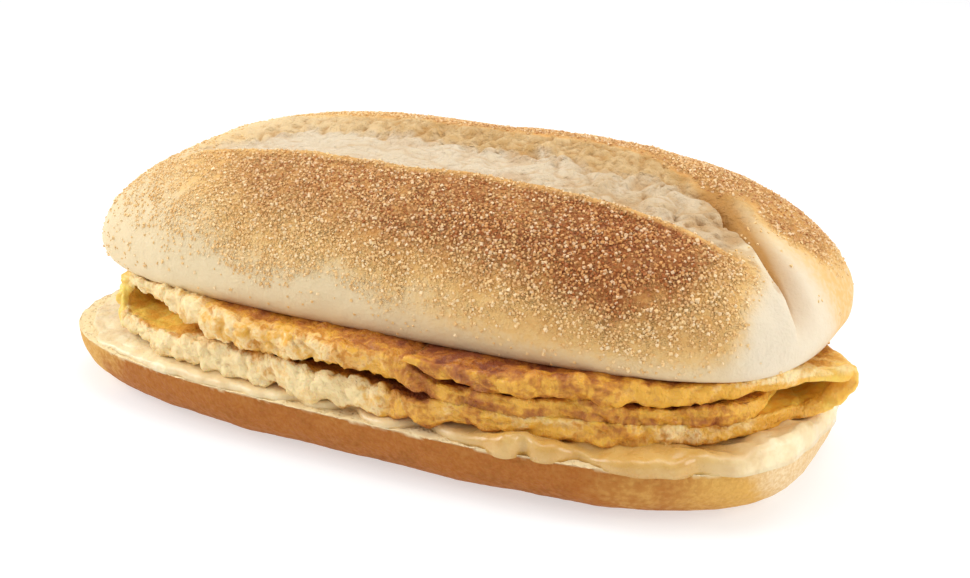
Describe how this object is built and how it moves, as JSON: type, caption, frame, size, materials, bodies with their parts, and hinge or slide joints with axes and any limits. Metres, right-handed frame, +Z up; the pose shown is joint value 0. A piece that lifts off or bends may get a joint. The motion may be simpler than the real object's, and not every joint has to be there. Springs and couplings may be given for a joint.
{
  "type": "omelette breakfast sandwich roll",
  "caption": "Long soft split-top roll dusted with semolina, cut level and filled with a folded omelette over a layer of creamy sauce.",
  "frame": {"origin": "centre of the heel's flat base, which rests on the table", "axes": "+Z up, +X along the roll towards the end where the omelette's tip sticks out, -Y towards the side where the folded edges of the omelette show"},
  "size_m": [0.1608, 0.0756, 0.052],
  "materials": {
    "crown_crust": "soft baked crust, pale below and golden brown on top, dusted with semolina grains",
    "heel_crust": "baked crust, satin golden brown, with a pale cut face",
    "egg": "moist yellow egg, browned in patches",
    "sauce": "glossy pale cream sauce"
  },
  "bodies": {
    "root": {"crown": "crown_crust", "heel": "heel_crust", "omelette": "egg", "sauce": "sauce"}
  },
  "joints": []
}
